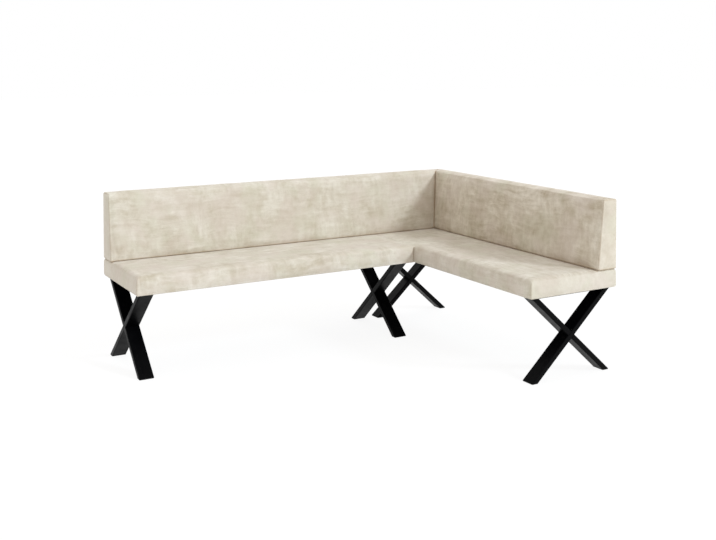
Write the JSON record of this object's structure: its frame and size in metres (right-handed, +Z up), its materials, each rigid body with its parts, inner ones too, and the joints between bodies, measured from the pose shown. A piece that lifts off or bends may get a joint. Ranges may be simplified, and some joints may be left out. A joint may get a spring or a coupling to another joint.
{
  "type": "corner bench",
  "caption": "Upholstered L-shaped corner dining bench in beige velvet with wedge-shaped backs and black crossed steel legs.",
  "frame": {"origin": "on the floor, below the middle of the bench's outer box", "axes": "+X along the long side towards the corner, +Y towards the long side's back, +Z up"},
  "size_m": [2, 1.45, 0.802],
  "materials": {
    "velvet": "brushed velvet",
    "foam": "soft open-cell foam",
    "plywood": "sanded",
    "softwood": "planed",
    "dust_cloth": "matte nonwoven",
    "black_steel": "semi-gloss powder coat",
    "black_plastic": "matte",
    "zinc_steel": "zinc plated"
  },
  "bodies": {
    "root": {"long_seat_cover": "velvet", "wing_seat_cover": "velvet", "long_back_cover": "velvet", "wing_back_cover": "velvet", "long_seat_foam": "foam", "wing_seat_foam": "foam", "long_back_foam": "foam", "wing_back_foam": "foam", "long_seat_board": "plywood", "wing_seat_board": "plywood", "long_back_panel": "plywood", "wing_back_panel": "plywood", "long_seat_rail": "softwood", "wing_seat_rail": "softwood", "wing_seat_end_rail": "softwood", "long_back_base": "softwood", "wing_back_base": "softwood", "long_seat_dust_cover": "dust_cloth", "wing_seat_dust_cover": "dust_cloth", "long_inner_leg_bar_main": "black_steel", "long_inner_leg_bar_upper": "black_steel", "long_inner_leg_bar_lower": "black_steel", "long_inner_leg_plate": "black_steel", "long_inner_leg_glide_front": "black_plastic", "long_inner_leg_glide_rear": "black_plastic", "long_inner_leg_screw_front": "zinc_steel", "long_inner_leg_screw_rear": "zinc_steel", "long_end_leg_bar_main": "black_steel", "long_end_leg_bar_upper": "black_steel", "long_end_leg_bar_lower": "black_steel", "long_end_leg_plate": "black_steel", "long_end_leg_glide_front": "black_plastic", "long_end_leg_glide_rear": "black_plastic", "long_end_leg_screw_front": "zinc_steel", "long_end_leg_screw_rear": "zinc_steel", "corner_leg_bar_main": "black_steel", "corner_leg_bar_upper": "black_steel", "corner_leg_bar_lower": "black_steel", "corner_leg_plate": "black_steel", "corner_leg_glide_front": "black_plastic", "corner_leg_glide_rear": "black_plastic", "corner_leg_screw_front": "zinc_steel", "corner_leg_screw_rear": "zinc_steel", "wing_end_leg_bar_main": "black_steel", "wing_end_leg_bar_upper": "black_steel", "wing_end_leg_bar_lower": "black_steel", "wing_end_leg_plate": "black_steel", "wing_end_leg_glide_front": "black_plastic", "wing_end_leg_glide_rear": "black_plastic", "wing_end_leg_screw_front": "zinc_steel", "wing_end_leg_screw_rear": "zinc_steel", "joining_plate": "zinc_steel", "joining_screw_long": "zinc_steel", "joining_screw_wing": "zinc_steel", "long_back_bolt_1": "zinc_steel", "long_back_bolt_2": "zinc_steel", "long_back_bolt_3": "zinc_steel", "wing_back_bolt_1": "zinc_steel", "wing_back_bolt_2": "zinc_steel"}
  },
  "joints": []
}
